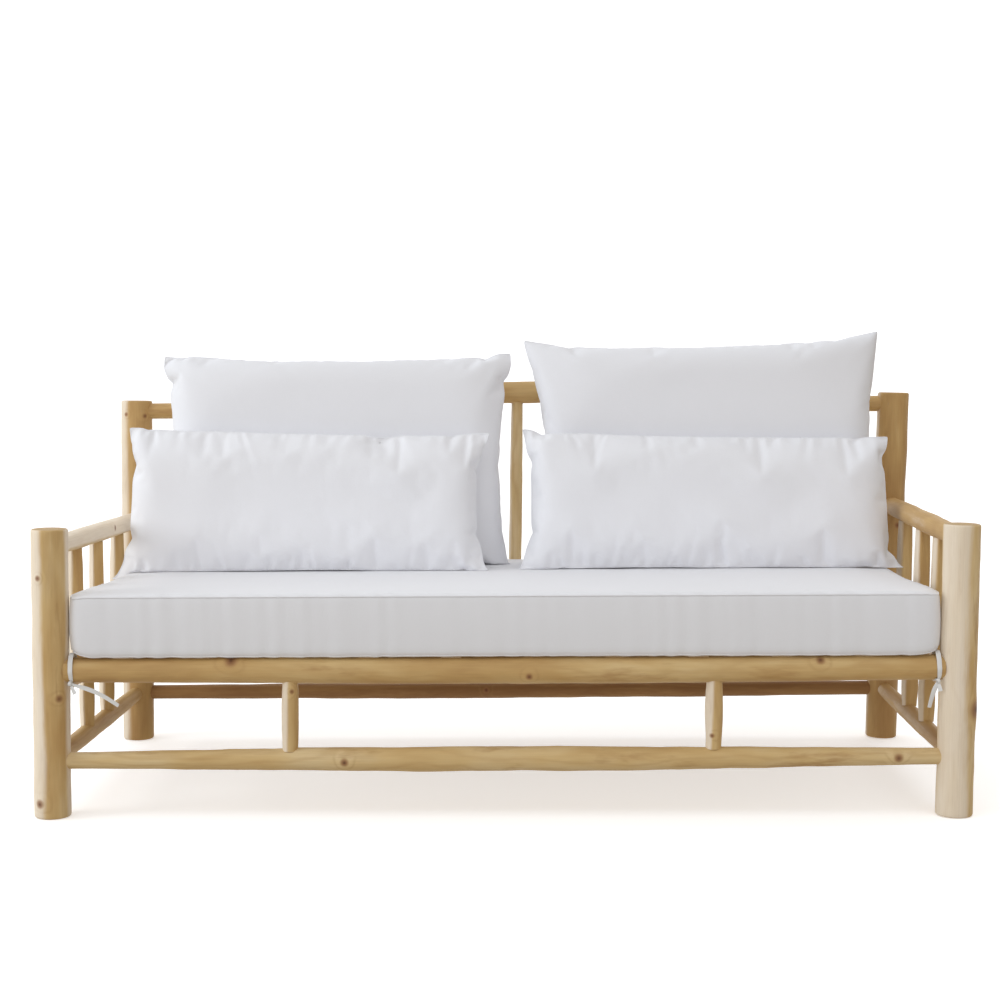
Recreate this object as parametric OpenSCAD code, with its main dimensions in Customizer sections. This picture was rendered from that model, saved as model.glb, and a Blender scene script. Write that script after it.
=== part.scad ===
// Daybed of peeled round logs: four posts, tenoned rails and spindles, a slatted seat,
// a tied-on box mattress, and four loose cushions. The front faces -Y and +Z is up.

/* [Frame] */
// Width over the feet of the posts
frame_w = 1800; // [1500:10:2160]
// Depth over the feet of the posts
frame_d = 800; // [666:2:960]
// Height of the two front posts
front_post_h = 556; // [463:1:667]
// Height of the rear left post
rear_post_h = 788; // [656:1:946]
// How much taller the rear right post is
rear_right_extra = 6; // [0:1:12]
// Diameter of every post
post_d = 70; // [60:1:84]
// Chamfer round the top of a post
post_chamfer = 4; // [2:0.5:6]
// Chamfer round the foot of a post
foot_chamfer = 3; // [1:0.5:5]

/* [Natural lean of the posts, sideways at the top] */
// Front left post
front_left_lean = 7; // [0:1:12]
// Front right post
front_right_lean = 10; // [0:1:16]
// Rear left post
rear_left_lean = 13; // [0:1:16]
// Rear right post
rear_right_lean = 23; // [0:1:28]

/* [Seat rails] */
// Height of the front and rear seat rails' centre line
seat_rail_z = 284; // [237:1:341]
// Diameter of the front and rear seat rails at their middle
seat_rail_d = 50; // [44:1:60]
// Diameter of the front and rear seat rails at their ends
seat_rail_end_d = 45; // [38:1:48]
// How far the side seat rails lie below the front one, so that their tenons miss each other
side_rail_drop = 38; // [34:1:50]
// Diameter of the side seat rails at their middle
side_rail_d = 44; // [36:1:52]
// Diameter of the side seat rails at their ends
side_rail_end_d = 40; // [34:1:46]

/* [Stretchers] */
// Height of the stretchers' centre line
stretcher_z = 108; // [90:1:130]
// How much higher the right side's stretcher lies
stretcher_rise = 5; // [0:1:8]
// Diameter of the front stretcher at its middle
front_stretcher_d = 46; // [38:1:55]
// Diameter of the other stretchers at their middle
stretcher_d = 37; // [33:1:44]
// Diameter of every stretcher at its ends
stretcher_end_d = 32; // [26:1:38]

/* [Arm rails and top rail] */
// How far the left arm rail's centre lies below the top of the front post
left_arm_drop = 36; // [30:1:44]
// How far the right arm rail's centre lies below the top of the front post
right_arm_drop = 27; // [26:1:40]
// How much higher the rear end of the left arm rail lies
left_arm_rise = -7; // [-12:1:12]
// How much higher the rear end of the right arm rail lies
right_arm_rise = 8; // [-12:1:12]
// Diameter of an arm rail at its middle
arm_d = 43; // [36:1:50]
// Diameter of an arm rail at its ends
arm_end_d = 40; // [34:1:46]
// How far each end of the top rail lies below the top of its post
top_rail_drop = 24; // [22:1:36]
// How far the middle of the arched top rail stands above its ends
top_rail_arch = 34; // [0:1:45]
// Diameter of the top rail at its middle
top_rail_d = 50; // [42:1:58]
// Diameter of the top rail at its ends
top_rail_end_d = 36; // [30:1:42]

/* [Spindles] */
// Diameter of a side or front spindle at its middle
spindle_d = 34; // [28:1:38]
// Diameter of a side or front spindle at its ends
spindle_end_d = 30; // [24:1:34]
// Distance from the middle of the frame to each front spindle
front_spindle_x = 405; // [300:5:480]
// Number of back spindles
back_spindles = 7; // [3:1:7]
// Diameter of a back spindle at its middle
back_spindle_d = 30; // [24:1:34]
// Diameter of a back spindle at its ends
back_spindle_end_d = 26; // [22:1:30]

/* [Joints] */
// Diameter of the tenons on seat rails, arm rails and top rail
rail_tenon_d = 28; // [22:1:30]
// Diameter of the tenons on stretchers
stretcher_tenon_d = 20; // [16:1:24]
// Diameter of the tenons on spindles
spindle_tenon_d = 16; // [12:1:20]
// Depth to which a rail's full end is let into a post
post_housing = 7; // [4:1:9]
// Depth to which a spindle's full end is let into a rail
rail_housing = 4; // [2:1:5]
// Length of a spindle's tenon beyond its shoulder
spindle_tenon_len = 12; // [8:1:14]
// How far a rail's tenon passes the post's centre line
tenon_past_centre = 8; // [0:1:12]
// Wood left between the stretcher tenons that meet in a post
tenon_web = 2; // [1:0.5:4]
// Radial room for glue round a tenon or a peg
glue_gap = 0.2; // [0.1:0.1:0.5]
// Room for glue beyond the end of a tenon
tenon_end_gap = 1; // [0.5:0.5:3]
// Diameter of the pegs that lock the rail tenons
peg_d = 8; // [6:1:10]

/* [Slats] */
// Number of slats
slats = 10; // [6:1:10]
// Width of a slat
slat_w = 38; // [30:1:50]
// Thickness of a slat
slat_t = 14; // [11:1:17]
// Distance from a post's centre line to the nearest slat, before the row is shifted
slat_end_room = 158.5; // [140:0.5:180]
// How far the row of slats lies left of the frame's middle
slat_shift = 14; // [0:1:20]
// How high the top of the slats stands above the crown of the seat rails
slat_stand = 6; // [3:1:8]
// How far a slat runs past the centre line of each seat rail
slat_over = 9; // [8:1:22]
// Room at each side of a slat in its notch
notch_gap = 0.5; // [0.2:0.1:1.5]
// Length of a slat screw
screw_len = 36; // [28:1:37]

/* [Mattress] */
// Thickness of the mattress
mattress_t = 106; // [88:1:127]
// Room between the mattress and the posts at each end
mattress_gap = 1.5; // [1:0.5:15]
// Radius of the mattress corners in plan
mattress_corner_r = 26; // [15:1:40]
// How far the mattress stands in front of the front rail's centre line
mattress_front = 22; // [10:1:30]
// Room between the mattress and the back spindles
mattress_back_gap = 5; // [2:1:15]
// Thickness of a cover's cloth and wadding
cover_t = 1.6; // [1:0.1:3]
// Room between a cover and its filling
fill_gap = 0.4; // [0.2:0.1:1]

/* [Back cushions] */
// Height of a back cushion
back_h = 504; // [420:2:604]
// Thickness of a back cushion at its middle
back_t = 120; // [100:1:144]
// Backward lean of the left back cushion, in degrees
left_back_lean = 9; // [2:0.5:10]
// Backward lean of the right back cushion, in degrees
right_back_lean = 4; // [2:0.5:10]
// Gap between the two back cushions
back_split = 36; // [10:1:60]
// Room left of the left back cushion
back_left_room = 54; // [2:1:80]
// Room right of the right back cushion
back_right_room = 2; // [2:1:80]

/* [Lumbar cushions] */
// Height of a lumbar cushion
lumbar_h = 316; // [264:2:380]
// Thickness of a lumbar cushion at its middle
lumbar_t = 100; // [84:1:120]
// Backward lean of the lumbar cushions, in degrees
lumbar_lean = 10; // [2:0.5:12]
// Gap between the two lumbar cushions
lumbar_split = 65; // [10:1:80]
// Room that keeps a cushion clear of what it lies on or leans on
rest_gap = 1; // [0.5:0.5:3]

/* [Corner ties] */
// Width of the cotton tape
tape_w = 10; // [8:1:14]
// Thickness of the cotton tape
tape_t = 1.5; // [1:0.1:2]
// Diameter of the knot
knot_d = 14; // [12:1:18]
// Room between a tape and the post beside it
tie_gap = 1.5; // [0.5:0.5:6]

/* [Hidden] */
$fn = 48;
SIDES = ["left", "right"];

teak = [0.74, 0.62, 0.42];
pale_teak = [0.80, 0.70, 0.52];
white_cotton = [0.90, 0.90, 0.91];
foam_cream = [0.97, 0.94, 0.80];
screw_steel = [0.72, 0.70, 0.66];

// Posts. The lean of the rear right post widens the box, so the frame's middle sits left of x = 0
post_r = post_d / 2;
mid_x = -rear_right_lean / 2;
foot_x = frame_w / 2 - post_r;
foot_y = frame_d / 2 - post_r;
// A post runs from the centre of its foot to the centre of its top
function post(sx, sy, h, lean) =
    let (foot = [mid_x + sx * foot_x, sy * foot_y, 0]) [foot, foot + [lean, 0, h]];
FL = post(-1, -1, front_post_h, front_left_lean);
FR = post(1, -1, front_post_h, front_right_lean);
RL = post(-1, 1, rear_post_h, rear_left_lean);
RR = post(1, 1, rear_post_h + rear_right_extra, rear_right_lean);
function at_height(p, z) = p[0] + (p[1] - p[0]) * z / p[1].z;
function mix(a, b, t) = a + (b - a) * t;
function flat_dist(a, b) = norm([a.x - b.x, a.y - b.y]);

// A round member runs between the centre lines of the two pieces that hold it. Its fields are
// the two axis ends [0, 1], the end and middle radii [2, 3], the shoulders' distances from the
// axis ends [4, 5], the tenon tips' distances [6, 7] and the tenon's radius [8]
function member(a, b, end_r, mid_r, seat_a, seat_b, tip_a, tip_b, tenon_r) =
    [a, b, end_r, mid_r, seat_a, seat_b, tip_a, tip_b, tenon_r];
function turned(m) = [m[1], m[0], m[2], m[3], m[5], m[4], m[7], m[6], m[8]];
function span(m) = norm(m[1] - m[0]);
// A member keeps its end radius for a short way, then swells to its middle
end_flat = post_housing + 16;
function flat_len(m) = min(end_flat, (span(m) - m[4] - m[5]) / 6);
function swell(m, t) =
    let (lo = m[4] + flat_len(m), hi = span(m) - m[5] - flat_len(m),
         s = max(0, min(1, (t * span(m) - lo) / (hi - lo))))
    m[2] + (m[3] - m[2]) * sin(180 * s);

// Rails and stretchers between the posts
post_seat = post_r - post_housing;
function rail(p, q, zp, zq, end_d, mid_d) =
    member(at_height(p, zp), at_height(q, zq), end_d / 2, mid_d / 2, post_seat, post_seat,
           -tenon_past_centre, -tenon_past_centre, rail_tenon_d / 2);
stretcher_tip = stretcher_tenon_d / 2 + tenon_web;
function stretcher(p, q, zp, zq, mid_d) =
    member(at_height(p, zp), at_height(q, zq), stretcher_end_d / 2, mid_d / 2, post_seat, post_seat,
           stretcher_tip, stretcher_tip, stretcher_tenon_d / 2);
side_z = seat_rail_z - side_rail_drop;
right_stretcher_z = stretcher_z + stretcher_rise;
left_arm_z = front_post_h - left_arm_drop;
right_arm_z = front_post_h - right_arm_drop;
FRONT_SEAT = rail(FL, FR, seat_rail_z, seat_rail_z, seat_rail_end_d, seat_rail_d);
REAR_SEAT = rail(RL, RR, seat_rail_z, seat_rail_z, seat_rail_end_d, seat_rail_d);
LEFT_SEAT = rail(FL, RL, side_z, side_z, side_rail_end_d, side_rail_d);
RIGHT_SEAT = rail(FR, RR, side_z, side_z, side_rail_end_d, side_rail_d);
LEFT_ARM = rail(FL, RL, left_arm_z, left_arm_z + left_arm_rise, arm_end_d, arm_d);
RIGHT_ARM = rail(FR, RR, right_arm_z, right_arm_z + right_arm_rise, arm_end_d, arm_d);
TOP = rail(RL, RR, RL[1].z - top_rail_drop, RR[1].z - top_rail_drop, top_rail_end_d, top_rail_d);
FRONT_STRETCH = stretcher(FL, FR, stretcher_z, right_stretcher_z, front_stretcher_d);
REAR_STRETCH = stretcher(RL, RR, stretcher_z, right_stretcher_z, stretcher_d);
LEFT_STRETCH = stretcher(FL, RL, stretcher_z, stretcher_z, stretcher_d);
RIGHT_STRETCH = stretcher(FR, RR, right_stretcher_z, right_stretcher_z, stretcher_d);
PEGGED = [FRONT_SEAT, REAR_SEAT, LEFT_SEAT, RIGHT_SEAT, LEFT_ARM, RIGHT_ARM, TOP];
IN_POSTS = concat(PEGGED, [FRONT_STRETCH, REAR_STRETCH, LEFT_STRETCH, RIGHT_STRETCH]);

// The arch of the top rail: how far its centre line stands off the straight line at a share
function top_arch(t) = let (s = (swell(TOP, t) - TOP[2]) / (TOP[3] - TOP[2])) top_rail_arch * s;

// Spindles stand between a low and a high member, at a share of both lengths
function held(m, t) = swell(m, t) - rail_housing;
function spindle(low, high, t, end_d, mid_d, lift = 0) =
    member(mix(low[0], low[1], t), mix(high[0], high[1], t) + [0, 0, lift], end_d / 2, mid_d / 2,
           held(low, t), held(high, t), held(low, t) - spindle_tenon_len,
           held(high, t) - spindle_tenon_len, spindle_tenon_d / 2);
function spindle_row(low, high, shares) =
    [for (t = shares) spindle(low, high, t, spindle_end_d, spindle_d)];
upper_shares = [0.25, 0.48, 0.73];
lower_shares = [0.36, 0.59];
front_shares = [for (s = [-1, 1]) 0.5 + s * front_spindle_x / (2 * foot_x)];
FRONT_SPINDLES = spindle_row(FRONT_STRETCH, FRONT_SEAT, front_shares);
UPPER_SPINDLES = [spindle_row(LEFT_SEAT, LEFT_ARM, upper_shares),
                  spindle_row(RIGHT_SEAT, RIGHT_ARM, upper_shares)];
LOWER_SPINDLES = [spindle_row(LEFT_STRETCH, LEFT_SEAT, lower_shares),
                  spindle_row(RIGHT_STRETCH, RIGHT_SEAT, lower_shares)];

// Slats lie in notches across the front and rear seat rails
slat_top = seat_rail_z + seat_rail_d / 2 + slat_stand;
slat_bottom = slat_top - slat_t;
slat_half_len = foot_y + slat_over;
slat_pitch = 2 * (foot_x - slat_end_room) / (slats - 1);
function slat_x(i) = mid_x - slat_shift + (i - (slats + 1) / 2) * slat_pitch;

// Each back spindle stands as near to its even place as the slats beside it allow
spindle_room = slat_pitch / 2 - slat_w / 2 - back_spindle_d / 2 - 4;
function back_spindle_x(i) =
    let (even = REAR_SEAT[0].x + span(REAR_SEAT) * i / (back_spindles + 1) + 10,
         gap = round((even - slat_x(1)) / slat_pitch - 0.5),
         middle = slat_x(1) + (gap + 0.5) * slat_pitch)
    max(middle - spindle_room, min(middle + spindle_room, even));
BACK_SPINDLES = [for (i = [1:back_spindles])
    let (t = (back_spindle_x(i) - REAR_SEAT[0].x) / (REAR_SEAT[1].x - REAR_SEAT[0].x))
    spindle(REAR_SEAT, TOP, t, back_spindle_end_d, back_spindle_d, top_arch(t))];

// Slat screws, in millimetres
screw_r = 2;
screw_head_r = 4;
screw_head_h = 3;

// The mattress fills the room between the posts
mattress_top = slat_top + mattress_t;
mattress_x0 = max(at_height(FL, mattress_top).x, at_height(RL, mattress_top).x) + post_r + mattress_gap;
mattress_x1 = min(at_height(FR, slat_top).x, at_height(RR, slat_top).x) - post_r - mattress_gap;
mattress_y0 = -foot_y - mattress_front;
mattress_y1 = foot_y - back_spindle_d / 2 - mattress_back_gap;
mattress_w = mattress_x1 - mattress_x0;

// Cushions are knife-edge pillows that share the width of the mattress
edge_t = 16;
ear_r = 24;
belly_in = 90;
lumbar_w = (mattress_w - lumbar_split) / 2;
back_w = (mattress_w - back_split - back_left_room - back_right_room) / 2;
// A back cushion leans on the front of the top rail
rail_lean_z = TOP[0].z + top_rail_arch - mattress_top;
function back_foot_y(lean) =
    foot_y - top_rail_d / 2 - rest_gap - rail_lean_z * tan(lean) - back_t / 2 / cos(lean);
// A lumbar cushion leans on the back cushion, at the bottom or the top of its full thickness
function lumbar_foot_y(lean) = min([for (z = [belly_in, lumbar_h - belly_in] * cos(lumbar_lean))
    back_foot_y(lean) + z * (tan(lean) - tan(lumbar_lean)) - back_t / 2 / cos(lean)
    - lumbar_t / 2 / cos(lumbar_lean) - rest_gap]);

// Tapes are looped round the seat rails beside the posts. Each has its post, the sign of the
// mattress's side and front, and the step from the knot to the tip of the free end
loop_r = seat_rail_end_d / 2 + 0.4;
tie_off = post_r + tie_gap + tape_w / 2;
knot_drop = loop_r + tape_t / 2 + knot_d / 2 - 1;
TIES = [[FL, -1, -1, [88, -6, -40]], [FR, 1, -1, [-16, 4, -52]],
        [RL, -1, 1, [34, 6, -58]], [RR, 1, 1, [-40, 8, -54]]];

// Places children on an axis from a to b, with +Z along it
module along(a, b) {
    d = b - a;
    translate(a) rotate([0, acos(d.z / norm(d)), atan2(d.y, d.x)]) children();
}

// A turned member with a shouldered, chamfered tenon at each end
module round_member(m) {
    steps = 8;
    tenon_chamfer = 1.5;
    len = span(m);
    lo = m[4] + flat_len(m);
    hi = len - m[5] - flat_len(m);
    body = [for (i = [0:steps]) let (z = lo + (hi - lo) * i / steps) [swell(m, z / len), z]];
    along(m[0], m[1]) rotate_extrude() polygon(concat(
        [[0, m[6]], [m[8] - tenon_chamfer, m[6]], [m[8], m[6] + tenon_chamfer], [m[8], m[4]], [m[2], m[4]]],
        body,
        [[m[2], len - m[5]], [m[8], len - m[5]], [m[8], len - m[7] - tenon_chamfer],
         [m[8] - tenon_chamfer, len - m[7]], [0, len - m[7]]]));
}

// The bore and the housing that a member's first end needs in the piece that holds it
module socket(m) {
    housing_reach = 26;
    along(m[0], m[1]) {
        translate([0, 0, m[6] - tenon_end_gap])
            cylinder(r = m[8] + glue_gap, h = m[4] - m[6] + tenon_end_gap + 1);
        translate([0, 0, m[4]]) cylinder(r = m[2] + glue_gap, h = housing_reach);
    }
}
module low_sockets(row) for (m = row) socket(m);
module high_sockets(row) for (m = row) socket(turned(m));

// Pegs cross the rail tenons, driven in from the inner side of the post. Each is the point where
// it crosses the tenon's axis and the direction in which it comes out
peg_off = (post_seat - tenon_past_centre) / 2 + 4;
peg_in = rail_tenon_d / 2 + 5;
peg_out = sqrt(post_r * post_r - peg_off * peg_off) - 1;
function inward(m) = let (c = (m[0] + m[1]) / 2)
    abs(m[1].x - m[0].x) > abs(m[1].y - m[0].y) ? [0, -sign(c.y), 0] : [-sign(c.x), 0, 0];
function pegs_of(m) = let (u = (m[1] - m[0]) / span(m))
    [[m[0] + u * peg_off, inward(m)], [m[1] - u * peg_off, inward(m)]];
PEGS = [for (m = PEGGED) each pegs_of(m)];
module peg(g) along(g[0] - g[1] * peg_in, g[0]) cylinder(d = peg_d, h = peg_in + peg_out);
module peg_hole(g) along(g[0] - g[1] * peg_in, g[0])
    cylinder(r = peg_d / 2 + glue_gap, h = peg_in + 2 * post_r);

module post_log(p) {
    h = norm(p[1] - p[0]);
    below = 6;
    color(teak) difference() {
        along(p[0], p[1]) rotate_extrude() polygon([
            [0, -below], [post_r - foot_chamfer, -below], [post_r - foot_chamfer, 0],
            [post_r, foot_chamfer], [post_r, h - post_chamfer], [post_r - post_chamfer, h],
            [0, h]]);
        translate(p[0] + [-post_d, -post_d, -post_d]) cube([2 * post_d, 2 * post_d, post_d]);
        for (m = IN_POSTS) {
            if (flat_dist(m[0], p[0]) < post_d) socket(m);
            if (flat_dist(m[1], p[0]) < post_d) socket(turned(m));
        }
        for (g = PEGS) if (flat_dist(g[0], p[0]) < post_d) peg_hole(g);
    }
}

// A rail is bored for its own pegs and for the spindles below and above it
module rail_log(m, below = [], above = []) {
    color(teak) difference() {
        round_member(m);
        for (g = pegs_of(m)) peg_hole(g);
        high_sockets(below);
        low_sockets(above);
    }
}
module stretcher_log(m, above = []) {
    color(teak) difference() {
        round_member(m);
        low_sockets(above);
    }
}

// Front and rear seat rails are also notched for the slats and drilled for their screws
module slat_blank(i, side_gap, over) {
    translate([slat_x(i) - slat_w / 2 - side_gap, -slat_half_len - over, slat_bottom])
        cube([slat_w + 2 * side_gap, 2 * (slat_half_len + over), slat_t + over]);
}
module slat_screw(x, y) {
    translate([x, y, slat_top - screw_len]) rotate_extrude() polygon([
        [0, 0], [screw_r, 0], [screw_r, screw_len - screw_head_h],
        [screw_head_r, screw_len], [0, screw_len]]);
}
module seat_rail_log(m, below = [], above = []) {
    difference() {
        rail_log(m, below, above);
        for (i = [1:slats]) {
            color(teak) slat_blank(i, notch_gap, 10);
            translate([slat_x(i), m[0].y, slat_top - screw_len]) cylinder(r = screw_r, h = screw_len);
        }
    }
}

// The top rail is a log with a natural arch, swept in rings along its centre line
module top_rail_log() {
    sides = 20;
    rings = 22;
    len = span(TOP);
    lo = TOP[4];
    hi = len - TOP[5];
    // World up is -X in the frame of the axis
    points = [for (k = [0:rings]) for (j = [0:sides - 1])
        let (z = lo + (hi - lo) * k / rings, t = z / len, a = 360 * j / sides)
        [-top_arch(t) + swell(TOP, t) * cos(a), swell(TOP, t) * sin(a), z]];
    walls = [for (k = [0:rings - 1]) for (j = [0:sides - 1])
        let (a = k * sides + j, b = k * sides + (j + 1) % sides)
        each [[a, a + sides, b], [b, a + sides, b + sides]]];
    low_cap = [[for (j = [0:sides - 1]) j]];
    high_cap = [[for (j = [sides - 1:-1:0]) rings * sides + j]];
    color(teak) difference() {
        along(TOP[0], TOP[1]) {
            polyhedron(points, concat(walls, low_cap, high_cap));
            translate([0, 0, TOP[6]]) cylinder(r = TOP[8], h = lo - TOP[6] + 1);
            translate([0, 0, hi - 1]) cylinder(r = TOP[8], h = len - TOP[7] - hi + 1);
        }
        for (g = pegs_of(TOP)) peg_hole(g);
        high_sockets(BACK_SPINDLES);
    }
}

module spindle_log(m) color(teak) round_member(m);

module seat_slat(i) {
    color(pale_teak) difference() {
        slat_blank(i, 0, 0);
        for (s = [-1, 1]) slat_screw(slat_x(i), s * foot_y);
    }
}
module slat_screws() color(screw_steel)
    for (i = [1:slats]) for (s = [-1, 1]) slat_screw(slat_x(i), s * foot_y);
module joint_pegs() color(pale_teak) for (g = PEGS) peg(g);

// A slab with rounded corners in plan, smaller all round by an inset
module mattress_slab(inset) {
    r = mattress_corner_r - inset;
    x0 = mattress_x0 + inset;
    x1 = mattress_x1 - inset;
    y0 = mattress_y0 + inset;
    y1 = mattress_y1 - inset;
    h = mattress_t - 2 * inset;
    translate([0, 0, slat_top + inset]) {
        translate([x0 + r, y0, 0]) cube([x1 - x0 - 2 * r, y1 - y0, h]);
        translate([x0, y0 + r, 0]) cube([x1 - x0, y1 - y0 - 2 * r, h]);
        for (x = [x0 + r, x1 - r]) for (y = [y0 + r, y1 - r]) translate([x, y, 0]) cylinder(r = r, h = h);
    }
}
module mattress_cover() {
    color(white_cotton) difference() {
        mattress_slab(0);
        mattress_slab(cover_t);
    }
}
module mattress_core() color(foam_cream) mattress_slab(cover_t + fill_gap);

// A pillow with thin edges and a full belly, standing on its long edge, smaller by an inset
module pillow(w, h, t, inset) {
    r = ear_r - inset;
    hull() {
        for (x = [-1, 1]) for (z = [ear_r, h - ear_r])
            translate([x * (w / 2 - ear_r), edge_t / 2 - inset, z]) rotate([90, 0, 0])
                cylinder(r = r, h = edge_t - 2 * inset, $fn = 24);
        translate([-w / 2 + belly_in, -t / 2 + inset, belly_in])
            cube([w - 2 * belly_in, t - 2 * inset, h - 2 * belly_in]);
    }
}
module leaning(x, y, lean) {
    translate([x, y, mattress_top + rest_gap + edge_t / 2 * sin(lean)]) rotate([-lean, 0, 0]) children();
}
module place_back(side) {
    left = side == "left";
    lean = left ? left_back_lean : right_back_lean;
    x = left ? mattress_x0 + back_left_room + back_w / 2 : mattress_x1 - back_right_room - back_w / 2;
    leaning(x, back_foot_y(lean), lean) children();
}
module place_lumbar(side) {
    left = side == "left";
    x = left ? mattress_x0 + lumbar_w / 2 : mattress_x1 - lumbar_w / 2;
    leaning(x, lumbar_foot_y(left ? left_back_lean : right_back_lean), lumbar_lean) children();
}
module pillow_cover(w, h, t) {
    color(white_cotton) difference() {
        pillow(w, h, t, 0);
        pillow(w, h, t, cover_t);
    }
}
module pillow_insert(w, h, t) color(white_cotton) pillow(w, h, t, cover_t + fill_gap);

// A tape: a loop round the rail, a short strap up to the mattress, a knot and a free end
module corner_tie(tie) {
    p = at_height(tie[0], seat_rail_z);
    x = p.x - tie[1] * tie_off;
    corner_x = (tie[1] < 0 ? mattress_x0 : mattress_x1) - tie[1] * mattress_corner_r / 2;
    strap_y = p.y + tie[2] * mattress_corner_r / 2;
    strap_z = seat_rail_z + sqrt(pow(loop_r + tape_t / 2, 2) - pow(mattress_corner_r / 2, 2));
    knot = [x, p.y + tie[2] * knot_drop * sin(42), seat_rail_z - knot_drop * cos(42)];
    color(white_cotton) {
        translate([x, p.y, seat_rail_z]) rotate([0, 90, 0]) difference() {
            cylinder(r = loop_r + tape_t, h = tape_w, center = true);
            cylinder(r = loop_r, h = tape_w + 2, center = true);
        }
        translate([min(x, corner_x), strap_y - tape_t / 2, strap_z])
            cube([abs(corner_x - x), tape_t, slat_top - strap_z]);
        translate(knot) rotate([0, 0, tie[1] < 0 ? 180 : 0]) sphere(d = knot_d, $fn = 24);
        hull() for (end = [knot, knot + tie[3]])
            translate(end - [tape_t, tape_t, tape_w] / 2) cube([tape_t, tape_t, tape_w]);
    }
}

post_log(FL);  // front_left_post
post_log(FR);  // front_right_post
post_log(RL);  // rear_left_post
post_log(RR);  // rear_right_post
seat_rail_log(FRONT_SEAT, below = FRONT_SPINDLES);  // front_seat_rail
seat_rail_log(REAR_SEAT, above = BACK_SPINDLES);  // rear_seat_rail
rail_log(LEFT_SEAT, LOWER_SPINDLES[0], UPPER_SPINDLES[0]);  // left_seat_rail
rail_log(RIGHT_SEAT, LOWER_SPINDLES[1], UPPER_SPINDLES[1]);  // right_seat_rail
stretcher_log(FRONT_STRETCH, FRONT_SPINDLES);  // front_stretcher
stretcher_log(REAR_STRETCH);  // rear_stretcher
stretcher_log(LEFT_STRETCH, LOWER_SPINDLES[0]);  // left_stretcher
stretcher_log(RIGHT_STRETCH, LOWER_SPINDLES[1]);  // right_stretcher
rail_log(LEFT_ARM, below = UPPER_SPINDLES[0]);  // left_arm_rail
rail_log(RIGHT_ARM, below = UPPER_SPINDLES[1]);  // right_arm_rail
top_rail_log();  // back_top_rail
for (k = [0, 1]) {
    s = SIDES[k];
    spindle_log(FRONT_SPINDLES[k]);
    for (i = [1:3]) spindle_log(UPPER_SPINDLES[k][i - 1]);
    for (i = [1:2]) spindle_log(LOWER_SPINDLES[k][i - 1]);
    place_back(s) pillow_cover(back_w, back_h, back_t);
    place_back(s) pillow_insert(back_w, back_h, back_t);
    place_lumbar(s) pillow_cover(lumbar_w, lumbar_h, lumbar_t);
    place_lumbar(s) pillow_insert(lumbar_w, lumbar_h, lumbar_t);
}
for (i = [1:back_spindles]) spindle_log(BACK_SPINDLES[i - 1]);
for (i = [1:slats]) seat_slat(i);
slat_screws();
joint_pegs();
mattress_cover();
mattress_core();
corner_tie(TIES[0]);  // front_left_tie
corner_tie(TIES[1]);  // front_right_tie
corner_tie(TIES[2]);  // rear_left_tie
corner_tie(TIES[3]);  // rear_right_tie
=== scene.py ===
"""A daybed of peeled teak logs with a tied-on box mattress and four loose cushions."""
from math import atan2, cos, exp, floor as whole, pi, sin, sqrt
from random import Random

import bpy
from mathutils import Matrix, Vector

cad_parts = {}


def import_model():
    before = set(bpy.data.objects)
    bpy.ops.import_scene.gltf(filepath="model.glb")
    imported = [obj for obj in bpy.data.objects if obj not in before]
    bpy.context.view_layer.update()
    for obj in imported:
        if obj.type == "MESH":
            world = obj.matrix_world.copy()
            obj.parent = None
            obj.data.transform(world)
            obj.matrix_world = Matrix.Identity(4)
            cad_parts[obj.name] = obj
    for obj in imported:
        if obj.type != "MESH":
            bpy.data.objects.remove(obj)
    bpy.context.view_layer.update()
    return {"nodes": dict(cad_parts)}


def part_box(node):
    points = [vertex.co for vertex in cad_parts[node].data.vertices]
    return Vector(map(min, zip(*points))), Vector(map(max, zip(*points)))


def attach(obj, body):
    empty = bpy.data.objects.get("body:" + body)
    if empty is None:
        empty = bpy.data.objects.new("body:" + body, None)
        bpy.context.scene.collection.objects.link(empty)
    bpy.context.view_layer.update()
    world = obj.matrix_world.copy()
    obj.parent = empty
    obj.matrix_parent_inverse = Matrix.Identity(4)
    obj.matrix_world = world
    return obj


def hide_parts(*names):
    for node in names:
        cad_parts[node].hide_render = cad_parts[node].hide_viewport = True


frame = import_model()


# ------------------------------------------------------------------ Camera, light and floor
# The bed is seen from the front at the height of a sitting person's eyes, a little right of its
# middle. A soft light stands to the left like a window, and a weak one fills in from the front.
eye = Vector((0.0709, -3.7069, 0.85))
yaw, pitch, roll = -0.0237, 0.0727, -0.0075

camera = bpy.data.objects.new("camera", bpy.data.cameras.new("camera"))
camera.data.lens = 63.65
camera.data.sensor_width = 36
camera.matrix_world = (Matrix.Translation(eye) @ Matrix.Rotation(-yaw, 4, "Z")
                       @ Matrix.Rotation(pi / 2 - pitch, 4, "X") @ Matrix.Rotation(roll, 4, "Z"))
bpy.context.scene.collection.objects.link(camera)
bpy.context.scene.camera = camera
bpy.context.scene.view_settings.view_transform = "Standard"


def soft_light(name, place, aim, width, height, power, tint):
    """A rectangular lamp at a place, turned towards a point"""
    lamp = bpy.data.lights.new(name, "AREA")
    lamp.shape = "RECTANGLE"
    lamp.size, lamp.size_y = width, height
    lamp.energy = power
    lamp.color = tint
    holder = bpy.data.objects.new(name, lamp)
    turn = (Vector(aim) - Vector(place)).to_track_quat("-Z", "Y")
    holder.matrix_world = Matrix.Translation(place) @ turn.to_matrix().to_4x4()
    bpy.context.scene.collection.objects.link(holder)


def fill_ramp(ramp, stops):
    """Gives a colour ramp its stops, each a place from 0 to 1 and a colour"""
    while len(ramp.elements) < len(stops):
        ramp.elements.new(0.5)
    for element, (place, colour) in zip(ramp.elements, stops):
        element.position = place
        element.color = (*colour, 1)


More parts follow.
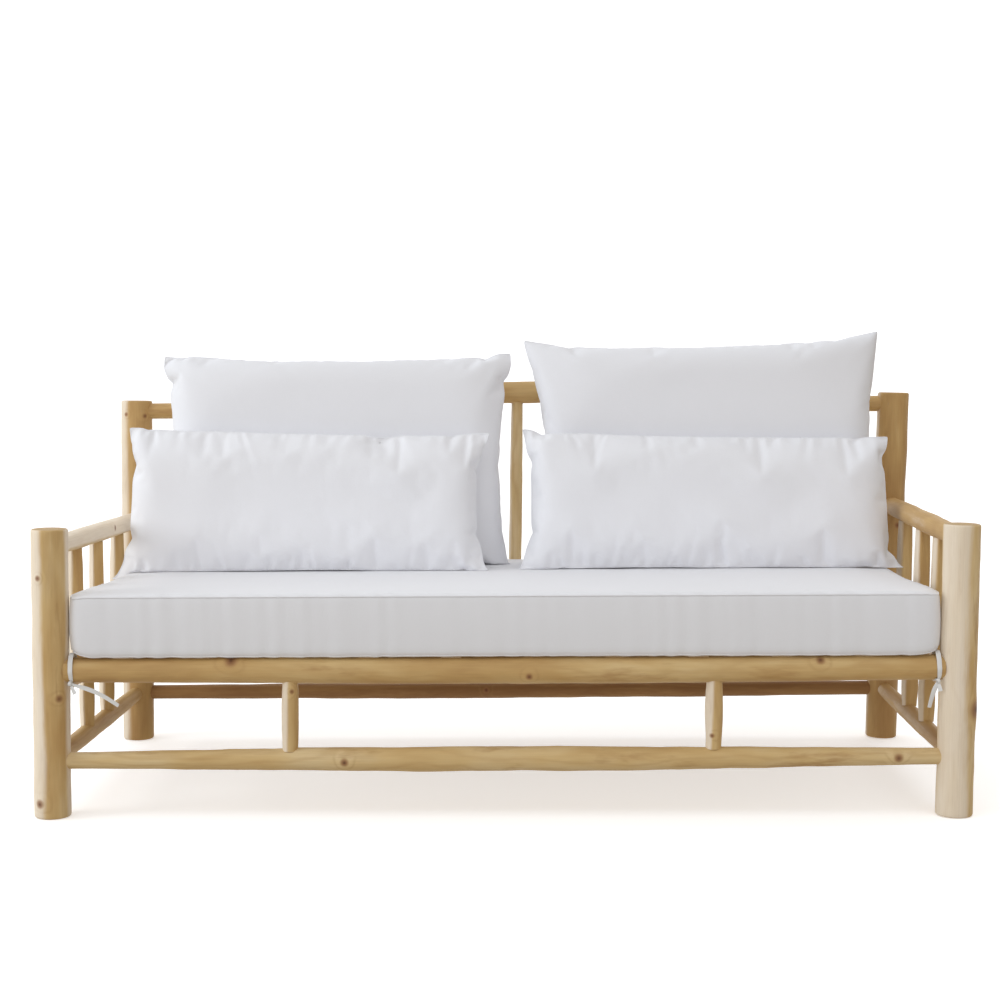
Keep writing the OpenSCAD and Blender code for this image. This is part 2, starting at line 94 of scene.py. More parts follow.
soft_light("window", (-3.6, -0.9, 1.30), (0, 0, 0.45), 1.7, 1.5, 34, (0.93, 0.97, 1.0))
soft_light("front_fill", (1.2, -4.4, 3.2), (0, 0, 0.4), 3.2, 2.4, 7, (1.0, 0.975, 0.94))

# The room is brightest at the window's side and overhead, and dims towards the other side. Its
# light is cool at the window, and a dim warm light comes up from the ground.
room = bpy.data.worlds.new("room")
room.use_nodes = True
sky = room.node_tree.nodes
facing = sky.new("ShaderNodeTexCoord").outputs["Generated"]
parts = sky.new("ShaderNodeSeparateXYZ")
room.node_tree.links.new(facing, parts.inputs[0])
light = None
for output, stops in (
        (0, ((0.0, (0.95, 0.98, 1.0)), (0.35, (0.69, 0.70, 0.72)), (0.66, (0.71, 0.70, 0.69)),
             (1.0, (0.40, 0.375, 0.34)))),
        (1, ((0.0, (0.90, 0.90, 0.90)), (0.45, (0.66, 0.66, 0.66)), (0.70, (0.80, 0.80, 0.80)),
             (0.93, (1, 1, 1)), (0.95, (1.6, 1.6, 1.6)))),
        (2, ((0.0, (0.60, 0.54, 0.47)), (0.44, (0.64, 0.60, 0.54)), (0.485, (0.88, 0.88, 0.88)),
             (0.8, (1.1, 1.1, 1.1)), (1.0, (1.3, 1.3, 1.3))))):
    spread = sky.new("ShaderNodeMapRange")
    spread.inputs["From Min"].default_value = -1.0
    room.node_tree.links.new(parts.outputs[output], spread.inputs["Value"])
    ramp = sky.new("ShaderNodeValToRGB")
    fill_ramp(ramp.color_ramp, stops)
    room.node_tree.links.new(spread.outputs[0], ramp.inputs[0])
    if light is None:
        light = ramp.outputs[0]
        continue
    product = sky.new("ShaderNodeVectorMath")
    product.operation = "MULTIPLY"
    room.node_tree.links.new(light, product.inputs[0])
    room.node_tree.links.new(ramp.outputs[0], product.inputs[1])
    light = product.outputs[0]
room.node_tree.links.new(light, sky["Background"].inputs["Color"])
sky["Background"].inputs["Strength"].default_value = 1.40
bpy.context.scene.world = room

bpy.ops.mesh.primitive_plane_add(size=60, location=(0, 0, -0.0005))
floor = bpy.context.object
floor.name = "floor"
floor_paint = bpy.data.materials.new("pale_floor")
floor_paint.use_nodes = True
floor_shader = floor_paint.node_tree.nodes["Principled BSDF"]
floor_shader.inputs["Base Color"].default_value = (1.0, 1.0, 1.0, 1)
floor_shader.inputs["Roughness"].default_value = 0.9
floor_shader.inputs["Specular IOR Level"].default_value = 0.1
floor_shader.inputs["Emission Color"].default_value = (1.0, 0.99, 0.98, 1)
floor_shader.inputs["Emission Strength"].default_value = 0.36
floor.data.materials.append(floor_paint)
floor.visible_diffuse = False


# ------------------------------------------------------------------ Posts
# Four peeled teak poles stand upright, each with its own slight lean. Their sawn tops and feet
# show the growth rings and have a small worn edge. Rails and stretchers are let into them.
class Signal:
    """A number in a material; arithmetic on it adds Math nodes"""

    def __init__(self, maker, socket):
        self.maker = maker
        self.socket = socket

    def math(self, operation, *terms):
        return self.maker.add("ShaderNodeMath", {"operation": operation}, dict(enumerate(terms)))

    def __add__(self, other):
        return self.math("ADD", self, other)

    def __sub__(self, other):
        return self.math("SUBTRACT", self, other)

    def __rsub__(self, other):
        return self.math("SUBTRACT", other, self)

    def __mul__(self, other):
        return self.math("MULTIPLY", self, other)

    def __truediv__(self, other):
        return self.math("DIVIDE", self, other)

    def __pow__(self, other):
        return self.math("POWER", self, other)

    __radd__ = __add__
    __rmul__ = __mul__

    def least(self, other):
        return self.math("MINIMUM", self, other)


class Finish:
    """A material that is built one node at a time"""

    def __init__(self, name, roughness=0.5, specular=0.4, sheen=0.0):
        self.material = bpy.data.materials.new(name)
        self.material.use_nodes = True
        self.tree = self.material.node_tree
        self.shader = self.tree.nodes["Principled BSDF"]
        self.shader.inputs["Roughness"].default_value = roughness
        self.shader.inputs["Specular IOR Level"].default_value = specular
        self.shader.inputs["Sheen Weight"].default_value = sheen

    def add(self, kind, settings, sockets, output=0):
        node = self.tree.nodes.new(kind)
        for key, value in settings.items():
            if key == "stops":
                fill_ramp(node.color_ramp, value)
            else:
                setattr(node, key, value)
        for key, value in sockets.items():
            if isinstance(value, Signal):
                self.tree.links.new(value.socket, node.inputs[key])
            else:
                node.inputs[key].default_value = value
        return Signal(self, node.outputs[output])

    def attribute(self, name, output=2):
        """A number that the mesh holds; output 1 reads it as a vector"""
        return self.add("ShaderNodeAttribute", {"attribute_name": name}, {}, output=output)

    def noise(self, place, stretch, detail=2.0, roughness=0.5):
        moved = self.add("ShaderNodeVectorMath", {"operation": "MULTIPLY"}, {0: place, 1: stretch})
        return self.add("ShaderNodeTexNoise", {}, {
            "Vector": moved, "Scale": 1.0, "Detail": detail, "Roughness": roughness})

    def mix(self, share, first, second, blend="MIX"):
        """Colours mixed by a share; a plain colour is three numbers"""
        def four(colour):
            return colour if isinstance(colour, Signal) else (*colour, 1)
        return self.add("ShaderNodeMix", {"data_type": "RGBA", "blend_type": blend}, {
            0: share, 6: four(first), 7: four(second)}, output=2)

    def ramp(self, share, *stops):
        return self.add("ShaderNodeValToRGB", {"stops": stops}, {"Fac": share})

    def drive(self, socket, value):
        self.tree.links.new(value.socket, self.shader.inputs[socket])

    def bump(self, height, distance, strength=1.0):
        self.drive("Normal", self.add("ShaderNodeBump", {}, {
            "Height": height, "Distance": distance, "Strength": strength}))


def select_only(piece):
    bpy.ops.object.select_all(action="DESELECT")
    piece.select_set(True)
    bpy.context.view_layer.objects.active = piece


def pick(piece, kind, test):
    """Selects the faces or edges of a piece that pass a test, and leaves it in edit mode"""
    bpy.ops.object.mode_set(mode="EDIT")
    bpy.ops.mesh.select_mode(type=kind)
    bpy.ops.mesh.select_all(action="DESELECT")
    bpy.ops.object.mode_set(mode="OBJECT")
    for element in piece.data.polygons if kind == "FACE" else piece.data.edges:
        element.select = test(element)
    bpy.ops.object.mode_set(mode="EDIT")


def rise(piece, edge):
    """How far an edge climbs from one end to the other"""
    first, second = (piece.data.vertices[i].co.z for i in edge.vertices)
    return abs(first - second)


def box_of(points):
    """The centre and size of the box round some points, and its longest axis"""
    spans = [(min(c[i] for c in points), max(c[i] for c in points)) for i in range(3)]
    size = [b - a for a, b in spans]
    return [(a + b) / 2 for a, b in spans], size, size.index(max(size))


def smooth(piece):
    for face in piece.data.polygons:
        face.use_smooth = True


def record(piece, name, value, kind="FLOAT_VECTOR"):
    """Keeps a vector or a number for each vertex, for the materials to read"""
    kept = piece.data.attributes.new(name, kind, "POINT").data
    for vertex in piece.data.vertices:
        setattr(kept[vertex.index], "value" if kind == "FLOAT" else "vector", value(vertex))


def modify(piece, name, kind, **settings):
    """Gives the active piece a modifier with these settings, and applies it"""
    change = piece.modifiers.new(name, kind)
    for key, value in settings.items():
        setattr(change, key, value)
    bpy.ops.object.modifier_apply(modifier=name)


def smoothstep(low, high, x):
    t = min(1.0, max(0.0, (x - low) / (high - low)))
    return t * t * (3 - 2 * t)


def push(piece, weight, strength, direction="NORMAL", grain_size=None):
    """Moves a piece's surface by a weight from 0 to 1 for each vertex, evenly or by cloudy noise"""
    select_only(piece)
    group = piece.vertex_groups.new(name="push")
    for vertex in piece.data.vertices:
        share = weight(vertex)
        if share > 0:
            group.add([vertex.index], share, "REPLACE")
    lumpy = {}
    if grain_size:
        clouds = bpy.data.textures.new("lumps", "CLOUDS")
        clouds.noise_scale = grain_size
        clouds.noise_depth = 2
        lumpy = {"texture": clouds, "texture_coords": "LOCAL"}
    modify(piece, "push", "DISPLACE", vertex_group="push", direction=direction, strength=strength,
           mid_level=0.5 if grain_size else 0.0, **lumpy)
    piece.vertex_groups.remove(piece.vertex_groups["push"])


def log_ends(node, axis):
    """The centres of a CAD log's two ends along X, Y or Z"""
    corners = [v.co for v in frame["nodes"][node].data.vertices]
    values = [c[axis] for c in corners]
    ends = []
    for limit in (min(values), max(values)):
        face = [c for c in corners if abs(c[axis] - limit) < 0.001]
        ends.append(Vector(box_of(face)[0]))
    return ends


ring_step = 0.011  # between the rings of edges along a log
worn_edge = 0.0015  # on the shoulder and the tip of a tenon
logs = {}


def make_log(node, start, end, end_radius, middle_radius, tenon=None, rim=None, sides=40,
             lumps=0.0028, crook=0.004, bend=(0, 0, 0), flat_share=0.03,
             shade=None, pale=((-1, 0, 0.3),), pale_from=0.62, hewn=None):
    """A peeled log from one end to the other, turned down to a tenon or sawn off at its ends.
    Shade runs from 0, brown, to 1, light: the log's own tone, set darker on some logs as painted
    shade.
    The sides listed after it, mostly the window's side and the top, get painted light: faces turned
    towards them past a threshold are painted pale and streaky like sapwood. Hewn is the direction of
    one corner of a log that was roughly squared, and the depth of its flats."""
    length = (end - start).length
    tenon_radius, tenon_length = tenon or (0, 0)
    body = length - 2 * tenon_length
    bpy.ops.object.select_all(action="DESELECT")
    bpy.ops.mesh.primitive_cylinder_add(vertices=sides, radius=end_radius, depth=body,
                                        location=(0, 0, length / 2))
    log = bpy.context.object
    log.name = node + "_log"
    bpy.ops.object.transform_apply()
    pick(log, "EDGE", lambda edge: rise(log, edge) > body / 2)
    bpy.ops.mesh.subdivide(number_cuts=max(4, round(body / ring_step)))
    for way in (-1, 1):
        pick(log, "FACE", lambda face: face.normal.z * way > 0.9)
        if tenon:
            bpy.ops.mesh.inset(thickness=worn_edge)
            bpy.ops.mesh.inset(thickness=end_radius - tenon_radius - worn_edge)
            for step in (tenon_length - worn_edge, worn_edge):
                bpy.ops.mesh.extrude_region_move(TRANSFORM_OT_translate={"value": (0, 0, way * step)})
            bpy.ops.transform.resize(value=(0.86, 0.86, 1))
        else:
            limit = length / 2 + way * body / 2
            pick(log, "EDGE", lambda edge: all(
                abs(log.data.vertices[i].co.z - limit) < 1e-5 for i in edge.vertices))
            bpy.ops.mesh.bevel(offset=rim, segments=3, profile=0.5, affect="EDGES")
            pick(log, "FACE", lambda face: face.normal.z * way > 0.999 and len(face.vertices) == sides)
            bpy.ops.mesh.inset(thickness=0.008)
            bpy.ops.mesh.inset(thickness=0.010)
    bpy.ops.object.mode_set(mode="OBJECT")

    # The grain follows the log: its distance along the log, then across it from the pith
    count = len(logs) + 1
    pith = Vector((0.003 * sin(2.4 * count), 0.003 * cos(1.7 * count)))
    record(log, "grain", lambda v: (v.co.z + 3.1 * count, v.co.x - pith.x, v.co.y - pith.y))
    # The shade gives the log its own tone, random when none is given; some logs are set darker as
    # painted shade
    if shade is None:
        shade = 0.45 + 0.3 * sin(5.3 * count)
    record(log, "tone", lambda v: shade, "FLOAT")

    shares = [v.co.z / length for v in log.data.vertices]
    radii = [sqrt(v.co.x ** 2 + v.co.y ** 2) for v in log.data.vertices]
    edge = tenon_length / length + flat_share

    def peeled(vertex):
        """Whether a vertex is on the log's own surface, not on a tenon or inside an end"""
        return radii[vertex.index] > end_radius * 0.98

    def middle(vertex):
        share = shares[vertex.index]
        inside = smoothstep(edge, edge + 0.12, share) * smoothstep(edge, edge + 0.12, 1 - share)
        return inside if peeled(vertex) else 0

    def arch(vertex):
        share = (shares[vertex.index] - edge) / (1 - 2 * edge)
        return sin(pi * min(1, max(0, share)))

    if middle_radius > end_radius:
        push(log, lambda v: arch(v) if peeled(v) else 0, middle_radius - end_radius)
    turn = (end - start).to_track_quat("Z", "Y")
    log.data.transform(Matrix.Translation(start) @ turn.to_matrix().to_4x4())
    way = (end - start).normalized()
    outward = []
    for vertex in log.data.vertices:
        offset = vertex.co - start
        outward.append((offset - way * offset.dot(way)).normalized())
    # Painted light: how far each face turns towards the lit sides, mostly the window's side, less a
    # threshold; the material paints the faces past it pale
    record(log, "sap", lambda v: max(outward[v.index].dot(Vector(side).normalized())
                                     for side in pale) - pale_from, "FLOAT")
    if hewn:
        corner, depth = Vector(hewn[0]), hewn[1]
        beside = way.cross(corner)
        for vertex, out in zip(log.data.vertices, outward):
            if peeled(vertex):
                turned = atan2(out.dot(beside), out.dot(corner))
                vertex.co -= out * depth * abs(sin(2 * turned))
    for axis, amount in zip("XYZ", bend):
        if amount:
            push(log, arch, amount, axis)
    main = max(range(3), key=lambda i: abs((end - start)[i]))
    if crook:
        for axis in "XYZ"[:main] + "XYZ"[main + 1:]:
            push(log, arch, crook, axis, grain_size=0.45)
    if lumps:
        push(log, middle, lumps, grain_size=0.09)
    smooth(log)
    bpy.ops.object.shade_smooth_by_angle(angle=0.9)
    logs[node] = log


# Where the branches left the pole: place on the surface, and radius of the knot
knots = []


def knot_on(node, share, angle, radius):
    """Marks a knot on a log, at a share of its length and an angle round it, and raises it a little"""
    log = logs[node]
    corners = [v.co for v in log.data.vertices]
    _, size, main = box_of(corners)
    level = min(c[main] for c in corners) + share * size[main]
    middle, width, _ = box_of([c for c in corners if abs(c[main] - level) < ring_step * 0.8])
    a, b = (i for i in range(3) if i != main)
    place = Vector((0, 0, 0))
    place[main] = level
    place[a] = middle[a] + width[a] / 2 * cos(angle)
    place[b] = middle[b] + width[b] / 2 * sin(angle)
    knots.append((place, radius))
    push(log, lambda v: exp(-((v.co - place).length / (radius * 1.6)) ** 2), 0.0022)


post_radius = 0.035
# Each post is painted pale on the sides turned towards the light, as painted light, the rear right one
# barely; the rear posts get a dark shade, painted shade, as they stand in shade behind the cushions
for node, lumps, shade, pale, pale_from in (
        ("front_left_post", 0.003, 0.50, ((-0.96, -0.27, 0), (0.80, 0.60, 0)), 0.38),
        ("front_right_post", 0.004, 0.62, ((-0.55, -0.83, 0),), 0.46),
        ("rear_left_post", 0.003, 0.16, ((-1, -0.2, 0),), 0.55),
        ("rear_right_post", 0.003, 0.10, ((-1, 0.3, 0),), 0.80)):
    low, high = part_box(node)
    foot = Vector((low.x + post_radius, (low.y + high.y) / 2, 0))
    top = Vector((high.x - post_radius, (low.y + high.y) / 2, high.z))
    make_log(node, foot, top, post_radius, post_radius, rim=0.004, sides=56, lumps=lumps, crook=0,
             flat_share=0.01, shade=shade, pale=pale, pale_from=pale_from)

toward_front = -pi / 2
for node, share, turn, radius in (
        ("front_left_post", 0.835, -0.42, 0.006), ("front_left_post", 0.42, 0.65, 0.008),
        ("front_left_post", 0.055, -0.45, 0.009), ("front_right_post", 0.37, 1.05, 0.021),
        ("rear_left_post", 0.96, -0.5, 0.005), ("rear_left_post", 0.955, 0.75, 0.006),
        ("rear_right_post", 0.62, 0.4, 0.008), ("rear_left_post", 0.50, pi + 0.4, 0.010)):
    knot_on(node, share, toward_front + turn, radius)


# ------------------------------------------------------------------ Seat rails
# Two stout rails run along the front and the back and carry the slats, and two more run along the
# sides. Each is a log with a shouldered tenon at both ends, glued and pegged into the posts.
def rail(node, axis, end_radius, middle_radius, tenon_radius=0.014, tenon_length=0.036, **ways):
    """A log with a tenon at each end, along X, Y or Z, in the place of its CAD node"""
    start, end = log_ends(node, axis)
    make_log(node, start, end, end_radius, middle_radius, tenon=(tenon_radius, tenon_length), **ways)


rail("front_seat_rail", 0, 0.0240, 0.0265, bend=(0, 0, -0.002), lumps=0.003, shade=0.42)
rail("rear_seat_rail", 0, 0.0225, 0.025)
rail("left_seat_rail", 1, 0.020, 0.022)
rail("right_seat_rail", 1, 0.020, 0.022)
knot_on("front_seat_rail", 0.205, pi / 2 + 0.75, 0.013)
knot_on("front_seat_rail", 0.845, pi / 2 + 0.80, 0.009)
knot_on("front_seat_rail", 0.53, pi + 0.35, 0.007)
knot_on("rear_seat_rail", 0.30, pi + 0.2, 0.010)


# ------------------------------------------------------------------ Stretchers
# Four thinner logs tie the posts together near the floor. The front one is the stoutest, and its
# ends taper into the posts.
stretcher_tenon = dict(tenon_radius=0.010, tenon_length=0.016)
rail("front_stretcher", 0, 0.016, 0.0235, lumps=0.004, crook=0.006, shade=0.70, **stretcher_tenon)
# The rear stretcher, in shade under the seat, gets a dark red-brown shade below the usual range, as
# painted shade
for side, shade in (("rear", -0.65), ("left", 0.30), ("right", 0.10)):
    rail(side + "_stretcher", 0 if side == "rear" else 1, 0.016, 0.0185, shade=shade,
         pale_from=0.95, **stretcher_tenon)
knot_on("front_stretcher", 0.325, pi + 0.1, 0.008)
knot_on("front_stretcher", 0.942, pi + 0.0, 0.009)
knot_on("rear_stretcher", 0.47, pi - 0.2, 0.007)


# ------------------------------------------------------------------ Arm rails and top rail
# The arm rails slope a little from the tall posts to the front ones. The top rail is a log with a
# natural arch, stout in the middle and thin at the ends, above the spindles behind the cushions.
# The left arm rail, nearest the window, has its top painted pale as painted light; the right one gets
# none
rail("left_arm_rail", 1, 0.020, 0.0215, lumps=0.003, shade=0.75, pale=((0.5, 0, 1),),
     pale_from=-0.2, hewn=((0.75, 0, 0.66), 0.003))
rail("right_arm_rail", 1, 0.020, 0.0215, lumps=0.003, shade=0.15, pale_from=1.1)
rail("back_top_rail", 0, 0.018, 0.025, bend=(0, 0, 0.034), crook=0, lumps=0.003, shade=0.35)
knot_on("back_top_rail", 0.475, pi + 0.5, 0.006)
knot_on("left_arm_rail", 0.60, 0.2, 0.007)


# ------------------------------------------------------------------ Spindles
# Short poles stand between the rails: two in front, five at each side and a row of seven behind
# the cushions. Those at the sides are roughly squared. Each end is turned to a round tenon.
spindle_tenon = dict(tenon_radius=0.008, tenon_length=0.012)
# The front and side spindles are painted pale on their window side, as painted light, more widely on
# the left
for side in ("left", "right"):
    rail("front_spindle_" + side, 2, 0.015, 0.017, sides=32, crook=0, lumps=0.003, shade=0.55,
         pale=((-1, -0.4, 0),), pale_from=0.5, **spindle_tenon)
    edge = (-0.2, -1, 0) if side == "left" else (-0.45, -1, 0)
    for node in ([f"{side}_upper_spindle_{i}" for i in (1, 2, 3)]
                 + [f"{side}_lower_spindle_{i}" for i in (1, 2)]):
        rail(node, 2, 0.0155, 0.0175, sides=32, crook=0, lumps=0.003, shade=0.32,
             pale=((-1, -0.3, 0),), pale_from=0.35 if side == "left" else 0.72,
             hewn=(edge, 0.0032), **spindle_tenon)
for i in range(1, 8):
    rail(f"back_spindle_{i}", 2, 0.013, 0.015, sides=28, crook=0.005, lumps=0.003, **spindle_tenon)
knot_on("front_spindle_left", 0.80, toward_front + 0.3, 0.005)
knot_on("front_spindle_right", 0.25, toward_front - 0.3, 0.005)


def place_in_log(finish):
    """A point's place in its log: all of it, the part across the log, and how far from the pith"""
    grain = finish.attribute("grain", output=1)
    across = finish.add("ShaderNodeVectorMath", {"operation": "MULTIPLY"}, {0: grain, 1: (0, 1, 1)})
    from_pith = finish.add("ShaderNodeVectorMath", {"operation": "LENGTH"}, {0: across}, output=1)
    return grain, across, from_pith


def growth_rings(depth, spacing):
    """0 in the early wood of each ring and 1 in its late wood"""
    turn = depth * (2 * pi / spacing)
    return turn.math("SINE", turn) * 0.5 + 0.5


# The wood itself: a tan heart, long fibres, and growth rings that show as flames where the surface
# cuts them. Faces turned towards the light are painted pale and streaky like sapwood, as painted
# light, and on faces turned away the brown stains and rings show more strongly, as painted shade.
teak = Finish("peeled_teak", roughness=0.58, specular=0.35)
grain, _, from_pith = place_in_log(teak)
tone = teak.attribute("tone")
sap = teak.attribute("sap")
place = teak.add("ShaderNodeTexCoord", {}, {}, output=3)

near_knot = None
for spot, radius in knots:
    gap = teak.add("ShaderNodeVectorMath", {"operation": "DISTANCE"}, {0: place, 1: spot}, output=1)
    near_knot = gap / radius if near_knot is None else near_knot.least(gap / radius)
knot_swirl = teak.add("ShaderNodeMapRange", {"interpolation_type": "SMOOTHSTEP"}, {
    "Value": near_knot, "From Min": 0.0, "From Max": 3.4, "To Min": 1.0, "To Max": 0.0})

drift = teak.noise(grain, (2.6, 14, 14), detail=2)
wobble = teak.noise(grain, (14, 45, 45), detail=2)
depth = from_pith + drift * 0.018 + wobble * 0.0030 + knot_swirl * 0.005
late_wood = growth_rings(depth, 0.0034) ** 3
fibre = teak.noise(grain, (9, 520, 520), detail=5, roughness=0.65)
fine_fibre = teak.noise(grain, (34, 1900, 1900), detail=3, roughness=0.6)
patches = teak.noise(grain, (3.6, 18, 18), detail=3, roughness=0.6)
stains = teak.noise(grain, (6, 38, 38), detail=4, roughness=0.65)

body_colour = teak.ramp(patches * 0.62 + tone * 0.38,
                        (0.05, (0.300, 0.150, 0.052)), (0.28, (0.460, 0.270, 0.100)),
                        (0.42, (0.580, 0.375, 0.150)), (0.54, (0.680, 0.485, 0.225)),
                        (0.68, (0.760, 0.595, 0.340)), (0.82, (0.820, 0.690, 0.470)))
# Painted light: faces turned towards the light are painted a pale pinkish tan, broken up by stains,
# drift and fibre so that it looks like sapwood
sapwood_and_light = teak.add("ShaderNodeMapRange", {"interpolation_type": "SMOOTHSTEP"}, {
    "Value": sap + (stains * 0.5 + drift * 0.7 + fibre * 0.25 - 0.72), "From Min": -0.10,
    "From Max": 0.26, "To Min": 0.0, "To Max": 0.92})
sapwood_light_colour = teak.mix(patches, (0.95, 0.87, 0.77), (0.82, 0.69, 0.51))
with_painted_light = teak.mix(sapwood_and_light, body_colour, sapwood_light_colour)
brown_patch = teak.ramp(stains, (0.57, (0, 0, 0)), (0.74, (1, 1, 1)))
# Painted shade: the wood's own stains and late-wood rings darken more on the faces turned away from
# the light
shaded_side = 1 - sapwood_and_light
stained = teak.mix(brown_patch * (0.26 + shaded_side * 0.5), with_painted_light, (0.42, 0.235, 0.090))
ringed = teak.mix(late_wood * (0.05 + shaded_side * 0.19), stained, (0.44, 0.255, 0.095))
streaked = teak.mix(fibre * 0.55 + fine_fibre * 0.25, (1.12, 1.12, 1.12), (0.72, 0.68, 0.62))
woody = teak.mix(1.0, ringed, streaked, "MULTIPLY")
knot_mask = teak.ramp(near_knot * 0.25 + wobble * 0.06,
                      (0.06, (1, 1, 1)), (0.20, (0.75, 0.75, 0.75)), (0.34, (0, 0, 0)))
knot_colour = teak.ramp(near_knot * 0.4 + fibre * 0.25,
                        (0.10, (0.055, 0.022, 0.010)), (0.30, (0.23, 0.095, 0.035)),
                        (0.55, (0.40, 0.20, 0.08)))
teak.drive("Base Color", teak.mix(knot_mask, woody, knot_colour))
teak.drive("Roughness", 0.44 + fibre * 0.26)
teak.bump(fibre * 0.5 + fine_fibre * 0.2 - late_wood * 0.2 + wobble * 0.5, 0.0016, 0.55)

# Sawn ends, where the rings show as circles crossed by fine drying cracks
end_grain = Finish("sawn_end", roughness=0.75, specular=0.2)
grain, across, from_pith = place_in_log(end_grain)
wobble = end_grain.noise(grain, (3, 60, 60), detail=2)
rings = growth_rings(from_pith + wobble * 0.0035, 0.0030)
beside, above = (end_grain.add("ShaderNodeSeparateXYZ", {}, {"Vector": across}, output=k)
                 for k in (1, 2))
angle = beside.math("ARCTAN2", beside, above)
ray = end_grain.add("ShaderNodeCombineXYZ", {}, {"X": angle * 3.0 + wobble * 1.4, "Y": 0.4})
cracks = end_grain.noise(ray, (1.6, 1, 1), detail=4, roughness=0.8)
crack_line = end_grain.ramp(cracks, (0.30, (1, 1, 1)), (0.36, (0, 0, 0)))
pores = end_grain.noise(grain, (10, 2600, 2600), detail=2)
sawn = end_grain.mix(rings ** 2 * 0.45, (0.63, 0.46, 0.26), (0.37, 0.22, 0.10))
sawn = end_grain.mix(pores * 0.5, sawn, (0.40, 0.26, 0.13))
end_grain.drive("Base Color", end_grain.mix(crack_line * 0.8, sawn, (0.12, 0.06, 0.03)))
end_grain.bump(pores * 0.4 - crack_line * 0.8 + rings * 0.2, 0.0012, 0.6)

for node, log in logs.items():
    log.data.materials.append(teak.material)
    log.data.materials.append(end_grain.material)
    main = box_of([v.co for v in log.data.vertices])[2]
    for face in log.data.polygons:
        face.material_index = 1 if abs(face.normal[main]) > 0.9 else 0
    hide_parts(node)
    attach(log, "frame")


# ------------------------------------------------------------------ Slats, screws and pegs
# Ten planed teak slats lie in notches across the long rails, each held by two steel screws.
# Turned hardwood pegs lock the tenons of the main rails, driven from the inner side of the posts.
def planed_wood(name, light, dark, stretch):
    """Sawn and planed wood whose fibres run along one axis"""
    board = Finish(name, roughness=0.62, specular=0.3)
    place = board.add("ShaderNodeTexCoord", {}, {}, output=3)
    fibre = board.noise(place, stretch, detail=5, roughness=0.65)
    figure = board.noise(place, tuple(s * 0.13 for s in stretch), detail=3)
    board.drive("Base Color", board.mix(fibre * 0.6 + figure * 0.5, light, dark))
    board.drive("Roughness", 0.5 + fibre * 0.25)
    board.bump(fibre, 0.0012, 0.4)
    return board.material


slat_wood = planed_wood("planed_slat", (0.74, 0.60, 0.42), (0.44, 0.29, 0.14), (260, 7, 260))
peg_wood = planed_wood("turned_peg", (0.66, 0.46, 0.24), (0.36, 0.20, 0.08), (420, 30, 420))
steel = Finish("screw_steel", roughness=0.35, specular=0.5)
place = steel.add("ShaderNodeTexCoord", {}, {}, output=3)
scratches = steel.noise(place, (2400, 300, 300), detail=3)
steel.shader.inputs["Metallic"].default_value = 1.0
steel.drive("Base Color", steel.mix(scratches, (0.52, 0.50, 0.47), (0.72, 0.70, 0.67)))
steel.drive("Roughness", 0.28 + scratches * 0.2)

for node, finish in ([(f"seat_slat_{i}", slat_wood) for i in range(1, 11)]
                     + [("slat_screws", steel.material), ("joint_pegs", peg_wood)]):
    coats = frame["nodes"][node].data.materials
    coats.clear()
    coats.append(finish)


# ------------------------------------------------------------------ Mattress
# A foam slab in a white cotton cover with a welted seam round its top and bottom edges. The cover
# is a little loose, so its front hangs in faint upright wrinkles.
def white_cotton(name, colour, wrinkle):
    """Plain-woven cotton: its threads follow the cut cloth, and it creases finely"""
    cloth = Finish(name, roughness=0.92, specular=0.12, sheen=0.20)
    cut = cloth.attribute("cloth", output=1)
    warp = cloth.noise(cut, (1500, 42, 1500), detail=2)
    weft = cloth.noise(cut, (42, 1500, 42), detail=2)
    creases = cloth.noise(cut, (26, 11, 20), detail=4, roughness=0.6)
    shade = cloth.noise(cut, (3, 2.4, 3), detail=2)
    tinted = cloth.mix(shade, colour, tuple(0.97 * c for c in colour))
    between_threads = tuple(0.93 * c for c in colour)
    cloth.drive("Base Color", cloth.mix((warp + weft) * 0.5, tinted, between_threads))
    cloth.bump((warp + weft) * 0.05 + creases * wrinkle, 0.004, 0.7)
    return cloth.material


def wave(x, phase):
    """An uneven ripple from -1 to 1, like cloth gathered on a thread"""
    broad = sin(2 * pi * x / 0.043 + 2.2 * sin(31 * x + phase) + phase)
    fine = sin(2 * pi * x / 0.027 + 1.7 * sin(47 * x + 2 * phase))
    return 0.6 * broad + 0.4 * fine


low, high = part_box("mattress_cover")
centre, size = (low + high) / 2, high - low
corner_radius = 0.026
side_depth = 0.012  # a point nearer the outline than this is on a side
side_wave = 0.03  # ripples reach this far in over the edges
bpy.ops.object.select_all(action="DESELECT")
bpy.ops.mesh.primitive_cube_add(size=1, location=centre)
mattress = bpy.context.object
mattress.name = "mattress"
mattress.scale = size
bpy.ops.object.transform_apply()
pick(mattress, "EDGE", lambda edge: rise(mattress, edge) > size.z / 2)
bpy.ops.mesh.bevel(offset=corner_radius, segments=6, affect="EDGES")
bpy.ops.object.mode_set(mode="OBJECT")
modify(mattress, "even", "REMESH", mode="VOXEL", voxel_size=0.008)


def edge_gap(point):
    """How far a point is from the mattress's outline in plan"""
    return min(size.x / 2 - abs(point.x - centre.x), size.y / 2 - abs(point.y - centre.y))


def up_share(point):
    return (point.z - low.z) / size.z


def top_rim(v):
    """1 along the edges of the top, fading to 0 inside them"""
    return (1 - smoothstep(0.0, 0.10, edge_gap(v.co))) * smoothstep(0.6, 0.95, up_share(v.co))


def belly(v):
    """1 halfway up the sides, 0 at the seams"""
    return sin(pi * min(1, max(0, up_share(v.co)))) if edge_gap(v.co) < side_depth else 0


